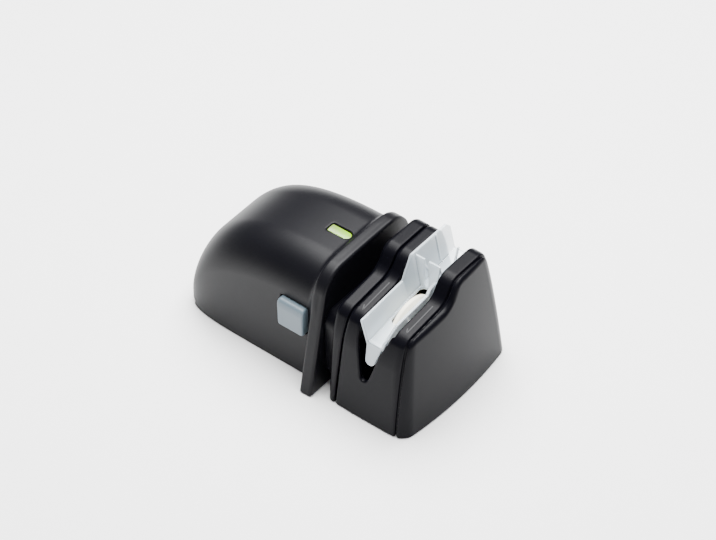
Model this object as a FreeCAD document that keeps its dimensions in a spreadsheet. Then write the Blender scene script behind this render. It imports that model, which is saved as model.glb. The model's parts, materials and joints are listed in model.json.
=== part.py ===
import FreeCAD, Part
import math
import os
import Sketcher

# A battery powered knife sharpener. Millimetres, +Z up, +X towards the sharpening head,
# -Y is the side with the button. The origin is on the ground under the middle of the length.

V = FreeCAD.Vector
doc = FreeCAD.newDocument("KnifeSharpener")
sheet = doc.addObject("Spreadsheet::Sheet", "Sizes")

# Driving dimensions. Every other size in the model follows from these cells.
SIZES = {
    # rear housing: a dome that ends at a guard flange
    "housing_length": 86.0, "housing_half": 35.4, "housing_height": 68.0, "housing_lean": 3.2,
    "housing_corner": 20.0, "housing_wall": 2.0, "plan_power": 7.4, "profile_power": 2.6,
    "flange_thick": 7.2, "flange_half": 46.6, "flange_top_half": 34.6, "flange_height": 70.7,
    "flange_crown": 1.6, "flange_corner": 20.0, "flange_edge": 1.0,
    "neck_length": 7.3, "neck_half": 34.0, "neck_bottom": 5.0, "neck_top": 48.0, "neck_wall": 2.4,
    # sharpening head: three covers in a row along X
    "head_length": 50.5, "head_half": 40.2, "head_half_mid": 36.2, "head_middle": 36.0, "head_half_top": 29.6,
    "head_bulge": 1.3, "head_wall": 2.4, "head_front_corner": 7.0, "front_round": 60.0,
    "front_sweep": 5.2,
    "front_drop": 6.4, "rear_drop": 0.8, "ledge_height": 59.8, "ledge_fall": 3.0, "shoulder_height": 70.6,
    "step_start": -3.2, "step_run": 7.5, "shoulder_end": 26.5, "ledge_end": 31.2,
    "rear_cover_low": 4.2, "rear_cover_high": 7.4, "front_cover_depth": 9.0,
    "parting_gap": 1.0, "parting_depth": 1.4,
    # blade slot, guide and sharpening wheel
    "slot_centre": 49.0, "slot_width": 19.2, "slot_wall": 1.8, "slot_wall_low": 44.0,
    "notch_bottom": 24.0, "notch_foot": 4.6, "guide_gap": 1.1, "guide_wall": 1.5,
    "guide_near": -34.2, "guide_far": 28.0, "guide_rise": 1.6, "guide_shoulder_rise": 2.4,
    "floor_near": 46.6, "floor_mid": 51.5, "floor_half": 3.7, "tab_drop": 12.2, "web_slit": 2.6,
    "wheel_axis_side": -6.5, "wheel_axis_up": 38.0, "wheel_radius": 16.6, "wheel_width": 4.4,
    "wheel_tip_width": 1.6, "shaft_radius": 2.0, "bush_radius": 4.0, "boss_radius": 6.2,
    # drive
    "tooth_module": 1.0, "gear_teeth": 30.0, "pinion_teeth": 10.0, "gear_width": 3.4,
    "pinion_width": 4.4, "backlash": 0.3, "motor_radius": 12.0, "motor_length": 34.0,
    "motor_cap": 3.2, "motor_shaft_radius": 1.0, "bracket_thick": 2.0,
    # battery bay and its door
    "cell_pitch": "=housing_half / 2 - 3.1", "cell_radius": "=cell_pitch / 2 - 0.05",
    "cell_length": 49.2, "cell_nub": 1.3, "cell_nub_radius": 2.7, "bay_rear": -63.0, "bay_wall": 0.9, "bay_height": 20.0, "contact_thick": 0.5,
    "plate_low": 0.6, "plate_thick": 2.0, "door_front": -10.0, "door_half": "=housing_half - 5.9",
    "tongue_reach": 0.9, "tongue_thick": 0.7,
    # controls
    "button_wide": 16.1, "button_tall": 16.6, "button_proud": 3.6, "button_centre": -1.2,
    "button_up": 36.4, "button_bevel": 1.6, "button_gap": 0.4, "button_lip": 1.2,
    "button_edge": 0.8, "window_long": 13.0, "window_wide": 5.5, "window_centre": 1.0,
    "window_sink": 0.7, "board_up": 57.0, "board_thick": 1.6, "board_long": 22.0,
    "board_wide": 17.0, "post_radius": 2.2, "post_back": 10.0, "post_side": 6.0, "led_radius": 2.5,
    # fasteners, feet and fits
    "screw_radius": 1.4, "screw_head": 2.6, "screw_head_thick": 1.4, "boss_small": 3.4, "boss_top": 16.0,
    "foot_radius": 4.0, "slip": 0.3, "run_gap": 0.05,
}
for row, (alias, value) in enumerate(SIZES.items(), start=1):
    sheet.set(f"A{row}", alias)
    sheet.set(f"B{row}", str(value))
    sheet.setAlias(f"B{row}", alias)
doc.recompute()


def size(alias):
    """Read one driving dimension back from the spreadsheet."""
    return float(getattr(sheet, alias))


# Stations along X, worked out from the lengths so that the whole is centred on the origin.
OVERALL = size("housing_length") + size("flange_thick") + size("neck_length") + size("head_length")
REAR = -OVERALL / 2
FLANGE_REAR = REAR + size("housing_length")
FLANGE_FRONT = FLANGE_REAR + size("flange_thick")
HEAD_REAR = FLANGE_FRONT + size("neck_length")
FRONT = OVERALL / 2
GROOVE = FRONT - size("front_cover_depth")
X_REAR = "-(Sizes.housing_length + Sizes.flange_thick + Sizes.neck_length + Sizes.head_length) / 2"
X_FLANGE = f"{X_REAR} + Sizes.housing_length"
BIG = 200.0

NODES = {}


def keep(label, thing):
    """Make an object of the document one of the named sub-parts."""
    thing.Label = label
    NODES[label] = thing
    return thing


def feature(label, shape):
    """A sub-part whose shape comes from Part's own functions."""
    thing = doc.addObject("Part::Feature", label)
    thing.Shape = shape.removeSplitter()
    return keep(label, thing)


TURN = {"X": FreeCAD.Rotation(V(0, 1, 0), 90), "Y": FreeCAD.Rotation(V(1, 0, 0), -90),
        "Z": FreeCAD.Rotation()}


def bind(thing, **expressions):
    """Bind properties to expressions; at is the place of the primitive's own corner or centre."""
    for name, text in expressions.items():
        if name == "at":
            for letter, part in zip("xyz", text):
                thing.setExpression(f"Placement.Base.{letter}", part)
        else:
            thing.setExpression(name, text)
    return thing


def rod(name, axis, radius, length, at):
    """A cylinder along one axis, with every size an expression."""
    thing = doc.addObject("Part::Cylinder", name)
    thing.Placement = FreeCAD.Placement(V(), TURN[axis])
    return bind(thing, Radius=radius, Height=length, at=at)


def block(name, length, width, height, at):
    """A box from its lowest corner, with every size an expression."""
    thing = doc.addObject("Part::Box", name)
    return bind(thing, Length=length, Width=width, Height=height, at=at)


def fuse(name, pieces):
    """One solid from several primitives."""
    thing = doc.addObject("Part::MultiFuse", name)
    thing.Shapes = pieces
    return thing


def cut(name, base, tool):
    """The base without the tool."""
    thing = doc.addObject("Part::Cut", name)
    thing.Base = base
    thing.Tool = tool
    return thing


def rounded(points, place, chords=0):
    """A closed wire through (u, v, radius) corners; place turns u, v into a point in space.

    With chords, a round corner is that many short lines, or a third as many where it turns only a little.
    """
    corners = []
    for index, (u, v, radius) in enumerate(points):
        here = V(u, v, 0)
        back = V(points[index - 1][0], points[index - 1][1], 0) - here
        after = points[(index + 1) % len(points)]
        ahead = V(after[0], after[1], 0) - here
        if radius <= 0:
            corners.append([here])
            continue
        half = back.getAngle(ahead) / 2
        trim = radius / math.tan(half)
        middle = back.normalize() + ahead.normalize()
        middle.normalize()
        centre = here + middle * (radius / math.sin(half))
        start = here + back * trim - centre
        turn = math.degrees(math.pi - 2 * half)
        if start.cross(here - centre).z < 0:
            turn = -turn
        steps = 2 if not chords else chords if half < math.radians(67) else max(chords // 3, 1)
        corners.append([centre + FreeCAD.Rotation(V(0, 0, 1), turn * step / steps).multVec(start)
                        for step in range(steps + 1)])
    edges = []
    for index, corner in enumerate(corners):
        spots = [place(p.x, p.y) for p in corner]
        if len(spots) == 3 and not chords:
            edges.append(Part.Arc(*spots).toShape())
        else:
            edges += [Part.LineSegment(one, two).toShape() for one, two in zip(spots, spots[1:])]
        start = corners[(index + 1) % len(corners)][0]
        if (start - corner[-1]).Length > 1e-6:
            edges.append(Part.LineSegment(spots[-1], place(start.x, start.y)).toShape())
    return Part.Wire(edges)


def prism(points, axis, low, high):
    """A straight solid with a rounded outline; points are in the two other axes, in order."""
    places = {"X": lambda u, v: V(low, u, v), "Y": lambda u, v: V(u, low, v), "Z": lambda u, v: V(u, v, low)}
    run = {"X": V(high - low, 0, 0), "Y": V(0, high - low, 0), "Z": V(0, 0, high - low)}
    return Part.Face(rounded(points, places[axis])).extrude(run[axis])


def solid_box(low, high):
    """A plain box between two corners."""
    return Part.makeBox(high[0] - low[0], high[1] - low[1], high[2] - low[2], V(*low))


def solid_rod(axis, radius, low, high, across):
    """A plain cylinder from low to high along an axis, at the two other coordinates."""
    starts = {"X": V(low, *across), "Y": V(across[0], low, across[1]), "Z": V(across[0], across[1], low)}
    ways = {"X": V(1, 0, 0), "Y": V(0, 1, 0), "Z": V(0, 0, 1)}
    return Part.makeCylinder(radius, high - low, starts[axis], ways[axis])


def peg(axis, radius, low, high, across, sides=8):
    """A straight bar with flat sides that all touch a circle of this radius, for hidden holes and screws."""
    corner = radius / math.cos(math.pi / sides)
    turns = [2 * math.pi * (index + 0.5) / sides for index in range(sides)]
    points = [(across[0] + corner * math.cos(turn), across[1] + corner * math.sin(turn), 0) for turn in turns]
    return prism(points, axis, low, high)


def mirror_y(shape):
    """The same shape on the other side of the middle plane."""
    return shape.mirror(V(0, 0, 0), V(0, 1, 0))


# Rear housing


def dome(inset, floor):
    """The domed form, lofted from rounded sections that shrink towards the rear end."""
    long = size("housing_length") - inset
    half = size("housing_half") - inset
    tall = size("housing_height") - inset
    steps = 13
    wires = []
    for step in range(steps + 1):
        share = min(math.sin(math.pi / 2 * step / steps), 0.9985)
        narrow = (1 - share ** size("plan_power")) ** (1 / size("plan_power"))
        low = (1 - share ** size("profile_power")) ** (1 / size("profile_power"))
        wide = half * narrow
        high = tall * low
        lean = size("housing_lean") * low * narrow
        corner = min(size("housing_corner") - inset, 0.72 * high)
        outline = [(-wide, floor, 0), (wide, floor, 0), (wide - lean, high, corner), (lean - wide, high, corner)]
        wires.append(rounded(outline, lambda u, v, x=FLANGE_REAR - share * long: V(x, u, v), 8))
    return Part.makeLoft(wires, True, True)


def flange_outline():
    """The guard flange: wide at the ground, round shouldered and slightly crowned."""
    foot, top, tall = size("flange_half"), size("flange_top_half"), size("flange_height")
    crown, corner = size("flange_crown"), size("flange_corner")
    return [(-foot, 0, 2.0), (foot, 0, 2.0), (top, tall, corner), (0, tall + crown, 3 * corner), (-top, tall, corner)]


def edges_at(shape, x, above):
    """The edges of a shape that lie in one plane across X and reach above a height."""
    found = []
    for edge in shape.Edges:
        box = edge.BoundBox
        if abs(box.XMin - x) < 1e-4 and abs(box.XMax - x) < 1e-4 and box.ZMax > above:
            found.append(edge)
    return found


def plate_top():
    return size("plate_low") + size("plate_thick")


def door_rails():
    """Two grooved rails low on the side walls, which the battery door runs in."""
    inner = size("door_half") + size("slip")
    groove_half = inner + size("tongue_reach")
    groove_low = size("plate_low") + 0.5 * (size("plate_thick") - size("tongue_thick")) - size("slip") / 2
    groove_high = groove_low + size("tongue_thick") + size("slip")
    low = (size("bay_rear") - 2, inner, size("plate_low"))
    high = (size("door_front"), size("housing_half"), plate_top() + size("slip"))
    rail = solid_box(low, high)
    rail = rail.cut(solid_box((REAR, 0, groove_low), (FRONT, groove_half, groove_high)))
    return [rail, mirror_y(rail)]


def rear_housing():
    """One moulding: the domed shell, the guard flange, its bosses, rails and openings."""
    wall = size("housing_wall")
    outer = dome(0, 0)
    inner = dome(wall, -wall)
    flange = prism(flange_outline(), "X", FLANGE_REAR, FLANGE_FRONT)
    rims = edges_at(flange, FLANGE_REAR, 1) + edges_at(flange, FLANGE_FRONT, 1)
    flange = flange.makeChamfer(size("flange_edge"), rims)
    hollow = size("neck_half") - size("neck_wall")
    mouth = [(-hollow, size("neck_bottom") + size("neck_wall"), 4), (hollow, size("neck_bottom") + size("neck_wall"), 4),
             (hollow, size("neck_top") - size("neck_wall"), 8), (-hollow, size("neck_top") - size("neck_wall"), 8)]
    opening = [(0.86 * u, v + (4 if v < 20 else -1), r) for u, v, r in mouth]
    shell = outer.cut(inner)
    extras = [peg("Z", size("boss_small"), plate_top(), size("boss_top"), base_screw_spot(side), 12)
              for side in (-1, 1)]
    extras += [peg("Z", size("post_radius"), size("board_up") + size("board_thick"), size("housing_height") - wall / 2,
                   (size("window_centre") - size("post_back"), side * size("post_side"))) for side in (-1, 1)]
    extras += [rail.common(outer) for rail in door_rails()]
    body = shell.fuse([flange] + extras)
    body = body.cut(prism(opening, "X", FLANGE_REAR - 1, FLANGE_FRONT + 1))
    gap = size("button_gap")
    half_wide, half_tall = size("button_wide") / 2 + gap, size("button_tall") / 2 + gap
    middle, up = size("button_centre"), size("button_up")
    hole = [(middle - half_wide, up - half_tall, gap), (middle + half_wide, up - half_tall, gap),
            (middle + half_wide, up + half_tall, gap), (middle - half_wide, up + half_tall, gap)]
    body = body.cut(prism(hole, "Y", -size("flange_half"), -size("housing_half") + 3 * wall + 1))
    body = body.cut(prism(window_outline(0), "Z", size("housing_height") - 3 * wall, BIG))
    notch_half = size("door_half") + size("tongue_reach") + 2 * size("slip")
    body = body.cut(solid_box((REAR - 1, -notch_half, -1), (size("bay_rear") - 1.5, notch_half, plate_top() + size("slip"))))
    for side in (-1, 1):
        body = body.cut(peg("Z", size("screw_radius"), 0, 12, base_screw_spot(side)))
        body = body.cut(peg("X", size("screw_radius"), FLANGE_REAR - 1, FLANGE_REAR + 4.6, bracket_spot(side)))
    return feature("rear_housing", body)


def base_screw_spot(side):
    """Where a screw under the housing stands, as X and Y."""
    return (0, side * (size("housing_half") - size("housing_wall") - size("boss_small")))


def window_outline(inset):
    """The pilot window from above: a round front end and a squarer rear end."""
    long, wide = size("window_long") / 2 - inset, size("window_wide") / 2 - inset
    middle = size("window_centre")
    return [(middle - long, -wide, 0.8), (middle + long, -wide, wide * 0.98),
            (middle + long, wide, wide * 0.98), (middle - long, wide, 0.8)]


def window_lens():
    """The green window: it sits a little below the surface, on a lip under the shell."""
    top = size("housing_height") - size("window_sink")
    under = size("housing_height") - size("housing_wall") - 0.45
    lens = prism(window_outline(0.1), "Z", under - 1, top)
    lip = prism(window_outline(-1.2), "Z", under - 1.2, under)
    return feature("window_lens", lens.fuse(lip))


def base_plate():
    """The fixed floor in front of the battery door, with the post that carries the switch."""
    gap = size("housing_wall") + 0.15
    floor = dome(gap, -1).common(
        solid_box((size("door_front") + size("slip"), -BIG, size("plate_low")), (FLANGE_REAR - 0.1, BIG, plate_top())))
    post_back = switch_back()
    post = solid_box((size("button_centre") - 5, post_back, plate_top() - 0.5),
                     (size("button_centre") + 5, post_back + 2, size("button_up") + 6))
    foot = prism([(post_back, plate_top() - 0.5, 0), (post_back + 12, plate_top() - 0.5, 0), (post_back, 26, 0)],
                 "X", size("button_centre") - 1, size("button_centre") + 1)
    plate = floor.fuse([post, foot])
    for side in (-1, 1):
        spot = base_screw_spot(side)
        plate = plate.cut(peg("Z", size("screw_radius") + 0.2, 0, 10, spot))
        plate = plate.cut(peg("Z", size("screw_head") + 0.2, 0, screw_seat(), spot, 12))
    return feature("base_plate", plate)


def screw_seat():
    """The height that the sunk screw heads reach up to."""
    return size("plate_low") + 0.5 * size("plate_thick")


def switch_back():
    """Where the switch's back stands, worked inwards from the button's lip."""
    return button_lip_back() + 4.7 + 6.0


def button_lip_back():
    """The inner face of the lip that keeps the button in its hole."""
    inner_wall = -(size("housing_half") - size("housing_lean") - size("housing_wall"))
    return inner_wall + size("slip") + size("button_lip")


# Battery bay


def bay_front():
    return size("bay_rear") + 2 * size("bay_wall") + size("cell_length") + size("cell_nub") + 2 * contact_depth()


def contact_depth():
    return 1.4


def bay_half():
    return 2 * size("cell_pitch") + size("bay_wall") + 0.1


def battery_tray():
    """A box over the cells, open below, with ribs that part them."""
    wall, rear, half = size("bay_wall"), size("bay_rear"), bay_half()
    low = plate_top() + size("slip")
    top = size("bay_height")
    tray = solid_box((rear, -half, low), (bay_front(), half, top))
    tray = tray.cut(solid_box((rear + wall, -half + wall, low - 1), (bay_front() - wall, half - wall, top - wall)))
    crown = low + 2 * size("cell_radius")
    for index in (-1, 0, 1):
        middle = index * size("cell_pitch")
        rib = solid_box((rear + wall, middle - 1.2, crown - 4.5), (bay_front() - wall, middle + 1.2, top - wall / 2))
        for side in (-1, 1):
            rib = rib.cut(solid_rod("X", size("cell_radius") + 0.1, rear, bay_front(),
                                    (middle + side * size("cell_pitch") / 2, cell_up())))
        tray = tray.fuse(rib)
    return feature("battery_tray", tray)


def cell_up():
    return plate_top() + size("slip") + 0.1 + size("cell_radius")


def battery_cells():
    """Four AA cells side by side, turned end for end in turn."""
    ups = "Sizes.plate_low + Sizes.plate_thick + Sizes.slip + 0.1 + Sizes.cell_radius"
    for index in range(4):
        side = f"Sizes.cell_pitch * {index - 1.5}"
        start = f"Sizes.bay_rear + Sizes.bay_wall + {contact_depth()}"
        forward = index % 2 == 0
        can_at = start if forward else f"{start} + Sizes.cell_nub"
        nub_at = f"{start} + Sizes.cell_length" if forward else start
        can = rod(f"CellCan{index}", "X", "Sizes.cell_radius", "Sizes.cell_length", (can_at, side, ups))
        nub = rod(f"CellNub{index}", "X", "Sizes.cell_nub_radius", "Sizes.cell_nub", (nub_at, side, ups))
        keep(f"battery_cell_{index + 1}", fuse(f"Cell{index}", [can, nub]))


def contacts(label, wall_x, way):
    """Bent spring strips that touch the cell ends; way is the direction they bow in."""
    thick, depth = size("contact_thick"), contact_depth()
    strips = []
    for index in range(4):
        middle = (index - 1.5) * size("cell_pitch")
        back = [(0, -6), (thick, -6), (thick, -3), (depth, -1), (depth, 1), (thick, 3), (thick, 6), (0, 6)]
        outline = [(wall_x + way * u, cell_up() + v, 0) for u, v in back]
        hollow = [(wall_x + way * u, cell_up() + v, 0)
                  for u, v in ((0, -3), (depth - thick, -1), (depth - thick, 1), (0, 3))]
        strip = prism(outline, "Y", middle - 2, middle + 2).cut(prism(hollow, "Y", middle - 3, middle + 3))
        strips.append(strip)
    return feature(label, Part.makeCompound(strips))


def battery_door():
    """The sliding door: its rear end follows the housing, its tongues run in the rails."""
    low, top, half = size("plate_low"), plate_top(), size("door_half")
    door = solid_box((REAR - 1, -half, low), (size("door_front"), half, top)).common(dome(0.2, -1))
    tongue_low = low + 0.5 * (size("plate_thick") - size("tongue_thick"))
    reach = half + size("tongue_reach")
    tongue = solid_box((size("bay_rear") + 3, -reach, tongue_low),
                       (size("door_front") - 3, reach, tongue_low + size("tongue_thick")))
    door = door.fuse(tongue)
    for index in range(5):
        start = size("door_front") - 50 + 3.0 * index
        door = door.cut(solid_box((start, -9, low - 1), (start + 1.2, 9, low + 0.6)))
    return feature("battery_door", door)


# Sharpening head


def curve(up, values):
    """A smooth curve through three values: at the ground, half way and at the head's top."""
    middle, top = size("head_middle"), size("shoulder_height") + 6
    low_share = (up - middle) * (up - top) / (middle * top)
    middle_share = up * (top - up) / (middle * (top - middle))
    return values[0] * low_share + values[1] * middle_share + values[2] * (1 - low_share - middle_share)


def head_plan(inset, up):
    """The head's outline from above at one height."""
    half = curve(up, (size("head_half"), size("head_half_mid"), size("head_half_top"))) - inset
    rise = curve(up, (0, 0.45, 1.0))
    front = FRONT - size("front_drop") * rise - inset
    rear = HEAD_REAR - size("rear_drop") * rise + inset
    lean = math.atan2(size("front_sweep"), half)
    peak = front + size("front_round") * (1 / math.cos(lean) - 1)
    shoulder = peak - half * math.tan(lean)
    middle = (rear + shoulder) / 2
    bulge = size("head_bulge")
    corner = size("head_front_corner") - inset
    points = [(rear, -half, 0), (middle, -half - bulge, 90), (shoulder, -half, corner), (peak, 0, size("front_round")),
              (shoulder, half, corner), (middle, half + bulge, 90), (rear, half, 0)]
    return rounded(points, lambda u, v: V(u, v, up), 6)


def head_form(inset, floor=0.0):
    """The whole head as one form: a tapering plan cut by the stepped outline of its end view."""
    top = size("shoulder_height") + 6
    heights = [floor, 0.25 * top, 0.5 * top, 0.75 * top, top]
    plan = Part.makeLoft([head_plan(inset, up) for up in heights], True, True)
    ledge, top = size("ledge_height") - inset, size("shoulder_height") - inset
    start, run = size("step_start"), size("step_run")
    shift = 0.45 * inset
    end, far = size("ledge_end") - inset, size("shoulder_end") - inset
    view = [(-60 - far, floor, 0), (60 + far, floor, 0), (far + 15.0, top - 29.0, 0), (far, top - 0.3, 6 - inset / 2),
            (start + run + shift, top, 4.5), (start + shift, ledge, 3.5), (-end, ledge - size("ledge_fall"), 4.0),
            (-end - 14.0, ledge - size("ledge_fall") - 28.0, 0)]
    return plan.common(prism(view, "X", HEAD_REAR - 20, FRONT + 20))


def across(low_bottom, low_top, high_bottom, high_top):
    """A slab across the head between two planes that lean along X, given at the ground and at the ledge."""
    scale = BIG / size("ledge_height")
    low_far = low_bottom + (low_top - low_bottom) * scale
    high_far = high_bottom + (high_top - high_bottom) * scale
    drop = 0.1
    low_near = low_bottom - (low_top - low_bottom) * drop
    high_near = high_bottom - (high_top - high_bottom) * drop
    base = -drop * size("ledge_height")
    return prism([(low_near, base, 0), (high_near, base, 0), (high_far, BIG, 0), (low_far, BIG, 0)], "Y", -BIG, BIG)


def parting_rear(offset):
    """The plane between rear cover and centre block, as its place at the ground and at the ledge."""
    return HEAD_REAR + size("rear_cover_low") + offset, HEAD_REAR + size("rear_cover_high") + offset


def head_rear_cover():
    """The cover behind the centre block: stepped wall, neck and the rear bearing boss."""
    wall, gap = size("head_wall"), size("parting_gap") / 2
    plane = parting_rear(-gap)
    slab = across(HEAD_REAR - 20, HEAD_REAR - 20, *plane)
    cover = head_form(0).common(slab)
    cover = cover.cut(head_form(wall, -wall).common(slab))
    hollow = size("neck_wall")
    half, low, top = size("neck_half"), size("neck_bottom"), size("neck_top")
    neck = prism([(-half, low, 6), (half, low, 6), (half, top, 10), (-half, top, 10)],
                 "X", FLANGE_FRONT, HEAD_REAR + wall)
    inside = prism([(hollow - half, low + hollow, 4), (half - hollow, low + hollow, 4),
                    (half - hollow, top - hollow, 8), (hollow - half, top - hollow, 8)],
                   "X", FLANGE_FRONT - 1, HEAD_REAR - size("rear_drop"))
    side, up = size("wheel_axis_side"), size("wheel_axis_up")
    boss = solid_rod("X", size("boss_radius"), HEAD_REAR, HEAD_REAR + wall + 2.4, (side, up))
    cover = cover.fuse([neck, boss]).cut(inside)
    cover = cover.cut(solid_rod("X", size("bush_radius"), HEAD_REAR + 0.4, HEAD_REAR + 10, (side, up)))
    cover = cover.cut(solid_rod("X", 8.0, HEAD_REAR - 2, HEAD_REAR + 10, (motor_side(), up)))
    for way in (-1, 1):
        cover = cover.cut(peg("X", size("screw_radius") + 0.2, FLANGE_FRONT, HEAD_REAR + 10, head_screw_spot(way)))
    return feature("head_rear_cover", cover)


def head_screw_spot(way):
    return (way * (size("neck_half") - size("neck_wall") - 4.0), size("neck_bottom") + size("neck_wall") + 4.0)


def motor_side():
    """The motor's axis lies beside the wheel's axis, one centre distance away."""
    return size("wheel_axis_side") + size("tooth_module") * (size("gear_teeth") + size("pinion_teeth")) / 2


def notch_outline():
    """The blade notch in the side walls: straight behind, flared towards the front, round at the foot."""
    rear = size("slot_centre") - size("slot_width") / 2
    front = rear + size("slot_width")
    foot, low = size("notch_foot"), size("notch_bottom")
    middle = size("slot_centre") - 1.0
    return [(rear, BIG, 0), (rear, low + 29, 12), (middle - foot / 2, low, 2.0), (middle + foot / 2, low, 2.0),
            (middle + foot / 2 + 4.2, low + 15, 14), (front, low + 33, 9), (front, BIG, 0)]


def head_centre_block():
    """The middle cover: two ledges, the blade slot, its liner walls, notches, saddles and bosses."""
    wall, gap = size("head_wall"), size("parting_gap") / 2
    low_plane = parting_rear(gap)
    slab = across(*low_plane, GROOVE - gap, GROOVE - gap)
    block_form = head_form(0).common(slab)
    tongue_slab = across(*parting_rear(-gap), GROOVE + gap, GROOVE + gap)
    tongue = head_form(size("parting_depth")).common(tongue_slab)
    inner = head_form(wall, -wall).common(across(*parting_rear(-3), GROOVE + 3, GROOVE + 3))
    body = block_form.fuse(tongue).cut(inner)
    rear = size("slot_centre") - size("slot_width") / 2
    front = rear + size("slot_width")
    liner = size("slot_wall")
    solid = head_form(0.5)
    low = size("slot_wall_low")
    for start in (rear - liner, front):
        body = body.fuse(solid_box((start, -BIG, low), (start + liner, BIG, BIG)).common(solid))
    for place in (size("guide_near") + 5, size("guide_far") - 9):
        under = guide_floor(place) - size("guide_wall") - 0.3
        saddle = solid_box((rear - liner / 2, place, low), (front + liner / 2, place + 2.2, under))
        body = body.fuse(saddle)
    for way in (-1, 1):
        body = body.fuse(peg("Z", size("boss_small"), plate_top(), size("boss_top") + 2, block_boss_spot(way), 12).common(solid))
        screw = head_screw_spot(way)
        lug = solid_box((HEAD_REAR + 5.0, min(screw[0], way * BIG), screw[1] - 3.2),
                        (HEAD_REAR + 14.0, max(screw[0], way * BIG), screw[1] + 3.2))
        lug = lug.common(solid).fuse(peg("X", 3.2, HEAD_REAR + 5.0, HEAD_REAR + 14.0, screw, 12))
        body = body.fuse(lug)
        body = body.cut(peg("X", size("screw_radius"), HEAD_REAR + 4, HEAD_REAR + 15, screw))
        body = body.cut(peg("Z", size("screw_radius"), 0, 14, block_boss_spot(way)))
    body = body.cut(solid_box((rear, -BIG, size("notch_bottom") + 36), (front, BIG, BIG)))
    body = body.cut(solid_box((rear, size("guide_near") + 3, guide_floor(size("guide_near")) + 3),
                              (front, size("guide_far") + 1, BIG)))
    notch = prism(notch_outline(), "Y", -BIG, size("guide_near") + 3.4)
    return feature("head_centre_block", body.cut(notch).cut(mirror_y(notch)))


def block_boss_spot(way):
    return (size("slot_centre") + way * 8, way * (size("head_half") - size("head_wall") - 4.4))


def head_front_cover():
    """The curved front cover with the front bearing boss."""
    wall, gap = size("head_wall"), size("parting_gap") / 2
    slab = across(GROOVE + gap, GROOVE + gap, FRONT + 20, FRONT + 20)
    cover = head_form(0).common(slab).cut(head_form(wall, -wall).common(slab))
    side, up = size("wheel_axis_side"), size("wheel_axis_up")
    boss = solid_rod("X", size("boss_radius"), GROOVE - 1.0, FRONT, (side, up)).common(head_form(0.8))
    ribs = solid_box((GROOVE + gap, side - 0.8, 8), (FRONT, side + 0.8, up)).common(head_form(0.8))
    cover = cover.fuse([boss, ribs])
    cover = cover.cut(solid_rod("X", size("bush_radius"), GROOVE - 2, GROOVE + 3.0, (side, up)))
    return feature("head_front_cover", cover)


def head_base_plate():
    """The floor of the head, held by two screws."""
    gap = size("head_wall") + 0.15
    low, top = size("plate_low"), plate_top()
    plate = head_form(gap, -gap).common(across(*parting_rear(0.7), GROOVE - 0.7, GROOVE - 0.7))
    plate = plate.common(solid_box((REAR, -BIG, low), (FRONT, BIG, top)))
    for way in (-1, 1):
        plate = plate.cut(peg("Z", size("screw_radius") + 0.2, 0, 10, block_boss_spot(way)))
        plate = plate.cut(peg("Z", size("screw_head") + 0.2, 0, screw_seat(), block_boss_spot(way), 12))
    return feature("head_base_plate", plate)


# Knife guide


def guide_floor(y):
    """The height of the trough's floor, which climbs gently towards the far side."""
    near, mid = size("floor_near"), size("floor_mid")
    return near + (mid - near) * (y - size("guide_near")) / (size("wheel_axis_side") - size("guide_near"))


def guide_section(y, top, reach, wall):
    """One cross section of the trough, grown outwards by a wall."""
    middle, floor = size("slot_centre"), guide_floor(y)
    half = size("floor_half") + wall * 0.8
    low = floor - wall
    high = top + (0 if wall > 0 else 2.0)
    spread = reach if wall > 0 else reach - size("guide_wall") * 1.05
    return Part.makePolygon([V(middle - half, y, low), V(middle + half, y, low), V(middle + spread, y, high),
                             V(middle - spread, y, high), V(middle - half, y, low)])


def guide_stations():
    """Places along the trough with the height of its rim and its reach to each side."""
    reach = size("slot_width") / 2 - size("guide_gap")
    low = size("ledge_height") + size("guide_rise")
    high = size("shoulder_height") + size("guide_shoulder_rise")
    step, run = size("step_start"), size("step_run")
    return [(size("guide_near"), low - 2.6, reach), (step + 0.6, low + 0.4, reach), (step + run, high, reach),
            (size("guide_far") - 6, high, reach), (size("guide_far"), high - 9.0, reach - 1.2)]


def knife_guide():
    """The clear trough with its wheel slot, end tab, cross web and foot rails."""
    wall = size("guide_wall")
    outer = Part.makeLoft([guide_section(y, top, reach, wall) for y, top, reach in guide_stations()], True, True)
    inner = Part.makeLoft([guide_section(y, top, reach, 0) for y, top, reach in guide_stations()], True, True)
    middle, near = size("slot_centre"), size("guide_near")
    web_y = size("step_start") + size("step_run") + 1.6
    web_top = size("shoulder_height") + 1.2
    web = outer.common(solid_box((middle - BIG, web_y, 0), (middle + BIG, web_y + 1.2, web_top)))
    slit = size("web_slit") / 2
    web = web.cut(solid_box((middle - slit, web_y - 1, 0), (middle + slit, web_y + 3, BIG)))
    floor = guide_floor(near)
    top_half, low_half = size("floor_half") + 0.8, size("floor_half") - 0.9
    tab = prism([(middle - low_half, floor - size("tab_drop"), 2.4), (middle + low_half, floor - size("tab_drop"), 2.4),
                 (middle + top_half, floor, 0), (middle - top_half, floor, 0)], "Y", near, near + wall)
    guide = outer.cut(inner).fuse([web, tab])
    side = size("wheel_axis_side")
    slot_half = size("wheel_width") / 2 + 0.6
    reach = math.sqrt(size("wheel_radius") ** 2 - (guide_floor(side) - wall - size("wheel_axis_up")) ** 2) + 2.2
    slot = [(middle - slot_half, side - reach, slot_half * 0.98), (middle + slot_half, side - reach, slot_half * 0.98),
            (middle + slot_half, side + reach, slot_half * 0.98), (middle - slot_half, side + reach, slot_half * 0.98)]
    guide = guide.cut(prism(slot, "Z", 30, guide_floor(side) + 4))
    return feature("knife_guide", guide)


# Drive


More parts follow.
